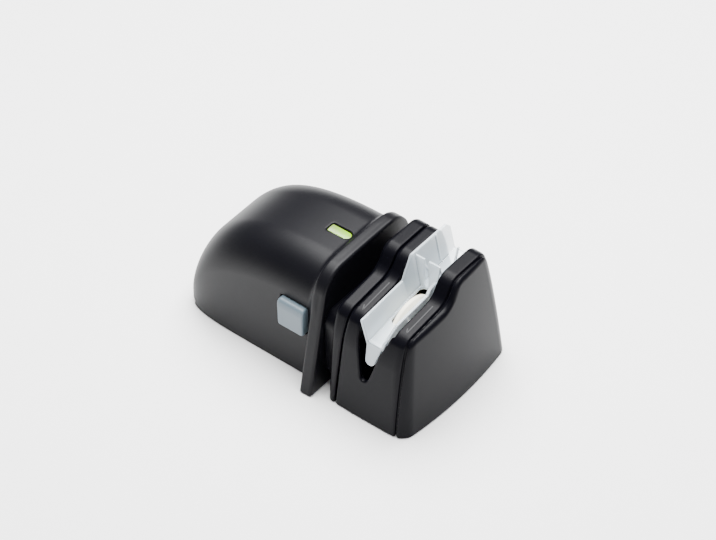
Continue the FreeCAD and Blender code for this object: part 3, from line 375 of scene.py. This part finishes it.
def button_cap(x, y, z):
    """The push button: soft edged, with a wider bevel along its top and a lip behind the wall."""
    u, v = x - BUTTON_X, z - BUTTON_Z
    face = -(HOUSING_HALF - HOUSING_LEAN / 2 + BUTTON_PROUD)
    plan = slot_field(u, v, BUTTON_WIDE, BUTTON_TALL, 1.6)
    bevel = (v - BUTTON_TALL + BUTTON_BEVEL) * 0.5 - (y - face) * 0.86
    cap = smax(smax(plan, face - y, 1.2), bevel, 1.0)
    lip = slot_field(u, v, BUTTON_WIDE + BUTTON_LIP, BUTTON_TALL + BUTTON_LIP, 1.0)
    lip = np.maximum(lip, between(y, BUTTON_BACK - 1, BUTTON_BACK))
    return np.minimum(np.maximum(cap, y - BUTTON_BACK), lip)


def lens(x, y, z):
    """The green window, very slightly crowned."""
    crown = z - (WINDOW_TOP - WINDOW_CROWN * y ** 2)
    return np.maximum(smax(window_field(x, y, -WINDOW_INSET), crown, 0.5), WINDOW_BACK - z)


def wheel(x, y, z):
    """The abrasive wheel: flat sides with a double conical rim."""
    u = np.abs(x - SLOT_MIDDLE)
    r = np.hypot(y - WHEEL_Y, z - WHEEL_Z)
    cone = (u - WHEEL_LAND) * 0.84 + (r - WHEEL_RADIUS) * 0.54
    rim = smax(smax(u - WHEEL_HALF, cone, 0.4), r - WHEEL_RADIUS, 0.3)
    return np.maximum(rim, WHEEL_BORE - r)


# Meshing

EDGES = [(a, a + step) for step in (1, 2, 4) for a in range(8) if not a & step]
NEWTON_ROUNDS = 4
PROBE = 0.02
DAMPING = 0.9
LONGEST_MOVE = 0.4
FLATTEST = 0.2


def corner_of(number):
    """The place of one of a cell's eight corners, in steps along X, Y and Z."""
    return np.array((number & 1, number >> 1 & 1, number >> 2 & 1))


def corners_inside(inside):
    """How many of each cell's eight corners lie inside the form."""
    count = np.zeros([n - 1 for n in inside.shape], dtype=np.int8)
    for number in range(8):
        i, j, k = corner_of(number)
        count += inside[i:i + count.shape[0], j:j + count.shape[1], k:k + count.shape[2]]
    return count


def crossing_points(values, cells):
    """Each cell's mean crossing of its edges with the surface, in steps."""
    total = np.zeros((len(cells), 3))
    crossings = np.zeros(len(cells))
    for start, end in EDGES:
        here, there = corner_of(start), corner_of(end)
        at_here = values[tuple((cells + here).T)]
        at_there = values[tuple((cells + there).T)]
        hit = (at_here < 0) != (at_there < 0)
        part = np.where(hit, at_here / np.where(hit, at_here - at_there, 1), 0)
        total += np.where(hit[:, None], here + part[:, None] * (there - here), 0)
        crossings += hit
    return cells + total / crossings[:, None]


def toward_surface(field, points, step):
    """One damped Newton step of every vertex onto the field's zero."""
    slope = np.zeros(points.shape)
    for axis in range(3):
        aside = PROBE * np.eye(3)[axis]
        slope[:, axis] = (field(*(points + aside).T) - field(*(points - aside).T)) / (2 * PROBE)
    size = np.maximum((slope ** 2).sum(axis=1), FLATTEST)
    move = -(field(*points.T) / size)[:, None] * slope
    length = np.linalg.norm(move, axis=1)
    limit = np.minimum(1, LONGEST_MOVE * step / np.maximum(length, 1e-9))
    return points + DAMPING * move * limit[:, None]


def surface_quads(inside, number):
    """A quad of cell numbers around each grid edge that crosses the surface, facing outwards."""
    quads = []
    for axis in range(3):
        one, two = [a for a in range(3) if a != axis]
        first = np.take(inside, range(0, inside.shape[axis] - 1), axis)
        second = np.take(inside, range(1, inside.shape[axis]), axis)
        found = np.argwhere(first != second)
        found = found[(found[:, one] > 0) & (found[:, two] > 0)
                      & (found[:, one] < number.shape[one]) & (found[:, two] < number.shape[two])]
        ring = []
        for back_one, back_two in ((1, 1), (0, 1), (0, 0), (1, 0)):
            cell = found.copy()
            cell[:, one] -= back_one
            cell[:, two] -= back_two
            ring.append(number[tuple(cell.T)])
        ring = np.array(ring).T
        turned = first[tuple(found.T)] == (axis == 1)
        ring[turned] = ring[turned][:, ::-1]
        quads.append(ring)
    return np.concatenate(quads)


def in_scene(name, data):
    """An object in the scene for a mesh, a lamp or a camera."""
    thing = bpy.data.objects.new(name, data)
    bpy.context.scene.collection.objects.link(thing)
    return thing


def field_mesh(name, field, low, high, step):
    """A quad mesh of a field's surface: surface nets, then each vertex moved onto the surface."""
    axes = [np.arange(low[i] - step, high[i] + 2 * step, step) for i in range(3)]
    values = field(*np.meshgrid(*axes, indexing="ij"))
    inside = values < 0
    count = corners_inside(inside)
    cells = np.argwhere((count > 0) & (count < 8))
    number = np.full(count.shape, -1, dtype=np.int64)
    number[tuple(cells.T)] = np.arange(len(cells))
    points = crossing_points(values, cells) * step + np.array([axis[0] for axis in axes])
    for _ in range(NEWTON_ROUNDS):
        points = toward_surface(field, points, step)
    quads = surface_quads(inside, number)
    mesh = bpy.data.meshes.new(name)
    mesh.vertices.add(len(points))
    mesh.vertices.foreach_set("co", (points / 1000).astype(np.float32).ravel())
    mesh.loops.add(4 * len(quads))
    mesh.loops.foreach_set("vertex_index", quads.astype(np.int32).ravel())
    mesh.polygons.add(len(quads))
    mesh.polygons.foreach_set("loop_start", np.arange(0, 4 * len(quads), 4, dtype=np.int32))
    mesh.polygons.foreach_set("use_smooth", np.ones(len(quads), dtype=bool))
    mesh.update(calc_edges=True)
    mesh.validate()
    return in_scene(name, mesh)


# Materials. Texture scales are per metre, colours are linear, and relief is in millimetres.

GLOSS_SPREAD = 0.03


class Finish:
    """A node material: its shader, and short ways to feed it."""

    def __init__(self, name):
        self.material = bpy.data.materials.new(name)
        self.material.use_nodes = True
        self.tree = self.material.node_tree
        self.shader = self.tree.nodes["Principled BSDF"]

    def add(self, kind, feeds, **values):
        """A node, with some inputs fed by other nodes and some set to values."""
        node = self.tree.nodes.new(kind)
        for socket, output in feeds.items():
            self.tree.links.new(output, node.inputs[socket])
        for socket, value in values.items():
            node.inputs[socket].default_value = value
        return node

    def place(self):
        """The object's own coordinates."""
        return self.add("ShaderNodeTexCoord", {}).outputs["Object"]

    def noise(self, place, scale, detail):
        """A cloudy value at a place."""
        return self.add("ShaderNodeTexNoise", {"Vector": place}, Scale=scale, Detail=detail).outputs["Fac"]

    def span(self, value, low, high):
        """A value of 0 to 1 stretched to run from low to high."""
        ends = {"To Min": low, "To Max": high}
        return self.add("ShaderNodeMapRange", {"Value": value}, **ends).outputs["Result"]

    def colours(self, value, first, last, middle=()):
        """A colour that runs through stops, each with its place from 0 to 1."""
        ramp = self.add("ShaderNodeValToRGB", {"Fac": value})
        stops = ramp.color_ramp.elements
        for stop, (place, colour) in zip(stops, (first, last)):
            stop.position = place
            stop.color = (*colour, 1)
        for place, colour in middle:
            stops.new(place).color = (*colour, 1)
        return ramp.outputs["Color"]

    def relief(self, height, strength, depth):
        """Small bumps that follow a texture."""
        bump = self.add("ShaderNodeBump", {"Height": height}, Strength=strength, Distance=depth / 1000)
        self.feed("Normal", bump.outputs["Normal"])

    def feed(self, socket, output):
        """One of the shader's inputs follows a node."""
        self.tree.links.new(output, self.shader.inputs[socket])

    def set(self, socket, value):
        """One of the shader's inputs has a fixed value."""
        self.shader.inputs[socket].default_value = value


def plastic(name, dark, light, rough, specular=0.5):
    """Moulded plastic: a fine grain in relief and gloss, and a slow drift in colour."""
    finish = Finish(name)
    place = finish.place()
    drift = finish.noise(place, scale=26.0, detail=3.0)
    grain = finish.noise(place, scale=2600.0, detail=2.0)
    finish.feed("Base Color", finish.colours(drift, (0.3, dark), (0.7, light)))
    finish.feed("Roughness", finish.span(grain, rough - GLOSS_SPREAD, rough + GLOSS_SPREAD))
    finish.relief(grain, strength=0.25, depth=0.04)
    finish.set("Specular IOR Level", specular)
    return finish.material


def metal(name, colour, rough):
    """Turned or rolled metal with fine streaks."""
    finish = Finish(name)
    dull = [0.82 * part for part in colour]
    drawn_out = finish.add("ShaderNodeMapping", {"Vector": finish.place()}, Scale=(0.08, 1.0, 1.0))
    streaks = finish.noise(drawn_out.outputs["Vector"], scale=900.0, detail=3.0)
    finish.feed("Base Color", finish.colours(streaks, (0, dull), (1, colour)))
    finish.feed("Roughness", finish.span(streaks, rough - 0.06, rough + 0.08))
    finish.set("Metallic", 1.0)
    return finish.material


def clear_plastic():
    """Clear moulding: see-through where it is looked at squarely, with a painted white reflection along its
    edges, where it is seen at a glancing angle.
    """
    finish = Finish("clear_moulding")
    cloud = finish.noise(finish.place(), scale=120.0, detail=2.0)
    edge_sheen_weight = finish.add("ShaderNodeLayerWeight", {}, Blend=0.42).outputs["Facing"]
    # Painted reflection: the colour runs from pale blue to white as the surface is seen at a more glancing
    # angle.
    finish.feed("Base Color", finish.colours(edge_sheen_weight, (0, (0.66, 0.78, 0.86)), (1, (1.0, 1.0, 1.0))))
    finish.feed("Roughness", finish.span(cloud, 0.06, 0.16))
    finish.feed("Alpha", finish.span(edge_sheen_weight, 0.22, 1.0))
    finish.set("Specular IOR Level", 0.7)
    return finish.material


def abrasive():
    """Pale bonded grit."""
    finish = Finish("abrasive_grit")
    grit = finish.add("ShaderNodeTexVoronoi", {"Vector": finish.place()}, Scale=2400.0).outputs["Distance"]
    finish.feed("Base Color", finish.colours(grit, (0, (0.80, 0.74, 0.58)), (1, (0.93, 0.90, 0.78))))
    finish.relief(grit, strength=0.5, depth=0.1)
    finish.set("Roughness", 0.85)
    return finish.material


def green_lens():
    """Translucent yellow-green plastic with a painted glow: it emits a little light, and its colour is
    painted brighter over the lamp at its front end.
    """
    finish = Finish("lime_window_painted_glow")
    ends = {"From Min": (WINDOW_X - WINDOW_LONG) / 1000, "From Max": (WINDOW_X + WINDOW_LONG) / 1000}
    split = finish.add("ShaderNodeSeparateXYZ", {"Vector": finish.place()})
    along = finish.add("ShaderNodeMapRange", {"Value": split.outputs["X"]}, **ends).outputs["Result"]
    # The stop over the lamp is a painted glow, lighter than the plastic's own yellow-green.
    painted_lamp_glow = (0.82, (0.17, 0.38, 0.0))
    lime_and_painted_glow = finish.colours(along, (0, (0.13, 0.19, 0.04)), (1, (0.14, 0.26, 0.003)), [painted_lamp_glow])
    finish.feed("Base Color", lime_and_painted_glow)
    # The window emits light in its own colour, more towards its front end: a painted glow that stands in for
    # the lamp beneath.
    finish.feed("Emission Color", lime_and_painted_glow)
    finish.feed("Emission Strength", finish.span(along, 0.02, 0.12))
    finish.set("Roughness", 0.25)
    return finish.material


def floor_paper():
    """Pale matt paper."""
    finish = Finish("floor_paper")
    cloud = finish.noise(finish.place(), scale=40.0, detail=2.0)
    finish.feed("Base Color", finish.colours(cloud, (0, (0.90, 0.90, 0.90)), (1, (0.93, 0.93, 0.93))))
    finish.set("Roughness", 0.9)
    return finish.material


LOOKS = {
    "housing_black": plastic(
        "housing_plastic", (0.0016, 0.0016, 0.0028), (0.0024, 0.0024, 0.0038), 0.42, 0.13),
    # Painted shade: the head's black has a darker colour and a lower specular level than the housing's, to
    # darken the head's front face.
    "head_black": plastic(
        "head_plastic_painted_shade", (0.0012, 0.0012, 0.0024), (0.0020, 0.0020, 0.0034), 0.34, 0.07),
    "clear_plastic": clear_plastic(),
    "lens_green": green_lens(),
    "button_grey": plastic("button_plastic", (0.085, 0.12, 0.145), (0.10, 0.135, 0.16), 0.42),
    "abrasive_cream": abrasive(),
    "cell_jacket": plastic("cell_jacket", (0.30, 0.32, 0.36), (0.36, 0.38, 0.42), 0.3),
    "spring_steel": metal("plated_steel", (0.70, 0.71, 0.73), 0.30),
    "motor_steel": metal("motor_can_steel", (0.58, 0.59, 0.61), 0.36),
    "shaft_steel": metal("ground_steel", (0.64, 0.65, 0.67), 0.24),
    "brass": metal("turned_brass", (0.78, 0.60, 0.28), 0.28),
    "white_nylon": plastic("nylon", (0.78, 0.78, 0.74), (0.86, 0.86, 0.82), 0.5),
    "switch_black": plastic("switch_plastic", (0.03, 0.03, 0.03), (0.05, 0.05, 0.05), 0.5),
    "board_green": plastic("solder_mask", (0.03, 0.14, 0.07), (0.04, 0.18, 0.09), 0.35),
    "led_green": plastic("lamp_epoxy", (0.30, 0.66, 0.10), (0.36, 0.74, 0.14), 0.2),
    "foot_rubber": plastic("pad_rubber", (0.02, 0.02, 0.02), (0.035, 0.035, 0.035), 0.8),
}
MARK = plastic("mark_paint", (0.010, 0.010, 0.012), (0.016, 0.016, 0.018), 0.7)

SLOT_OF = {entry["node"]: entry["material_slot"] for entry in frame["record"]["subparts"]}
BODY_OF = {node: body for body, nodes in frame["record"]["behaviour"]["bodies"].items() for node in nodes}


# Pieces


def dress(piece, material):
    """Give a piece one material."""
    piece.data.materials.clear()
    piece.data.materials.append(material)


def stand_for(name, node, field, low, high, step):
    """A field's mesh that takes a CAD node's place, on its body and with its finish."""
    piece = field_mesh(name, field, low, high, step * (1.0))
    dress(piece, LOOKS[SLOT_OF[node]])
    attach(piece, BODY_OF[node])
    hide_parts(node)


def stroke_outline(start, end):
    """The four corners of a straight stroke seen from above."""
    start, end = Vector(start), Vector(end)
    way = (end - start).normalized()
    side = Vector((-way.y, way.x)) * ARROW_HALF
    return start + side, end + side, end - side, start - side


def arrow(name, x):
    """A thin direction arrow that lies on a ledge and points to the near side."""
    tip = (x, ARROW_END)
    barb = (x - ARROW_BARB * BARB_SPREAD, ARROW_END + ARROW_BARB)
    points = []
    faces = []
    for start, end in (((x, ARROW_START), tip), (tip, barb)):
        base = len(points)
        for depth in (0, ARROW_THICK):
            for corner in stroke_outline(start, end):
                height = LEDGE + (corner.y - STEP_START) * LEDGE_SLOPE + ARROW_LIFT - depth
                points.append((corner.x / 1000, corner.y / 1000, height / 1000))
        faces += [[base + i for i in ring] for ring in BOX_FACES]
    mesh = bpy.data.meshes.new(name)
    mesh.from_pydata(points, [], faces)
    piece = in_scene(name, mesh)
    dress(piece, MARK)
    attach(piece, "housing")


for node, thing in frame["nodes"].items():
    dress(thing, LOOKS[SLOT_OF[node]])

stand_for("housing_shell", "rear_housing", housing, (-76, -47, 0), (18, 47, 73), 0.6)
stand_for("rear_head_cover", "head_rear_cover", rear_cover, (17, -43, 0), (35, 43, 72), 0.5)
stand_for("centre_head_cover", "head_centre_block", centre_block, (28, -43, 0), (68, 43, 72), 0.5)
stand_for("front_head_cover", "head_front_cover", front_cover, (66, -43, 0), (77, 43, 72), 0.5)
stand_for("clear_guide", "knife_guide", knife_guide, (40, -38, 34), (58, 34, 74), 0.32)
stand_for("button_cap", "power_button", button_cap, (-11, -39, 27), (8, -28, 46), 0.35)
stand_for("window_green", "window_lens", lens, (-7, -4, 64), (9, 4, 68), 0.25)
stand_for("grinding_wheel", "abrasive_wheel", wheel, (46, -24, 21), (52, 11, 56), 0.3)
arrow("arrow_rear", 36.4)
arrow("arrow_front", 62.6)


# Floor, light and camera. A lamp has a name, a place and a width in metres, and a power in watts.
# The camera's aim is in metres, its picture and focal length in pixels and its angles in degrees.

FLOOR_WIDE = 6.0
WORLD_STRENGTH = 0.35
LAMPS = (
    ("key", (-0.10, 0.22, 0.95), 0.9, 62.0),
    ("front", (0.75, -0.45, 0.75), 0.5, 1.0),
)
LAMP_AIM = (0, 0, 0.03)
PICTURE_WIDE = 716.0
PICTURE_SHIFT = (8.96, 21.23)
SENSOR = 36.0
FOCAL = 3000.0
PIXELS_PER_MM = 2.0408
VIEW_AROUND = 40.13
VIEW_ABOVE = 44.40
VIEW_ROLL = -1.54
CAMERA_AIM = (0.0055, 0, 0.030)


def studio():
    """A pale floor and soft light from above."""
    bpy.ops.mesh.primitive_plane_add(size=FLOOR_WIDE, location=(0, 0, 0))
    floor = bpy.context.object
    floor.name = "studio_floor"
    floor.data.materials.append(floor_paper())
    world = bpy.data.worlds.new("soft_world")
    bpy.context.scene.world = world
    world.use_nodes = True
    world.node_tree.nodes["Background"].inputs["Color"].default_value = (1.0, 1.0, 1.0, 1)
    world.node_tree.nodes["Background"].inputs["Strength"].default_value = WORLD_STRENGTH
    for name, place, width, power in LAMPS:
        lamp = bpy.data.lights.new(name, "AREA")
        lamp.size = width
        lamp.energy = power
        holder = in_scene(name, lamp)
        holder.location = place
        aim = Vector(LAMP_AIM) - Vector(place)
        holder.rotation_euler = aim.to_track_quat("-Z", "Y").to_euler()


def photo_camera():
    """A camera at the photograph's viewing angle."""
    around, above, roll = [math.radians(angle) for angle in (VIEW_AROUND, VIEW_ABOVE, VIEW_ROLL)]
    back = Vector((math.sin(around) * math.cos(above), -math.cos(around) * math.cos(above), math.sin(above)))
    right = Vector((math.cos(around), math.sin(around), 0))
    up = back.cross(right)
    across = right * math.cos(roll) + up * math.sin(roll)
    upward = up * math.cos(roll) - right * math.sin(roll)
    camera = bpy.data.cameras.new("photo_camera")
    camera.sensor_width = SENSOR
    camera.lens = FOCAL * SENSOR / PICTURE_WIDE
    camera.shift_x = PICTURE_SHIFT[0] / PICTURE_WIDE
    camera.shift_y = PICTURE_SHIFT[1] / PICTURE_WIDE
    camera.clip_start = 0.05
    holder = in_scene("photo_camera", camera)
    place = Vector(CAMERA_AIM) + back * (FOCAL / PIXELS_PER_MM / 1000)
    turn = Matrix((across, upward, back)).transposed().to_4x4()
    holder.matrix_world = Matrix.Translation(place) @ turn
    bpy.context.scene.camera = holder


studio()
photo_camera()
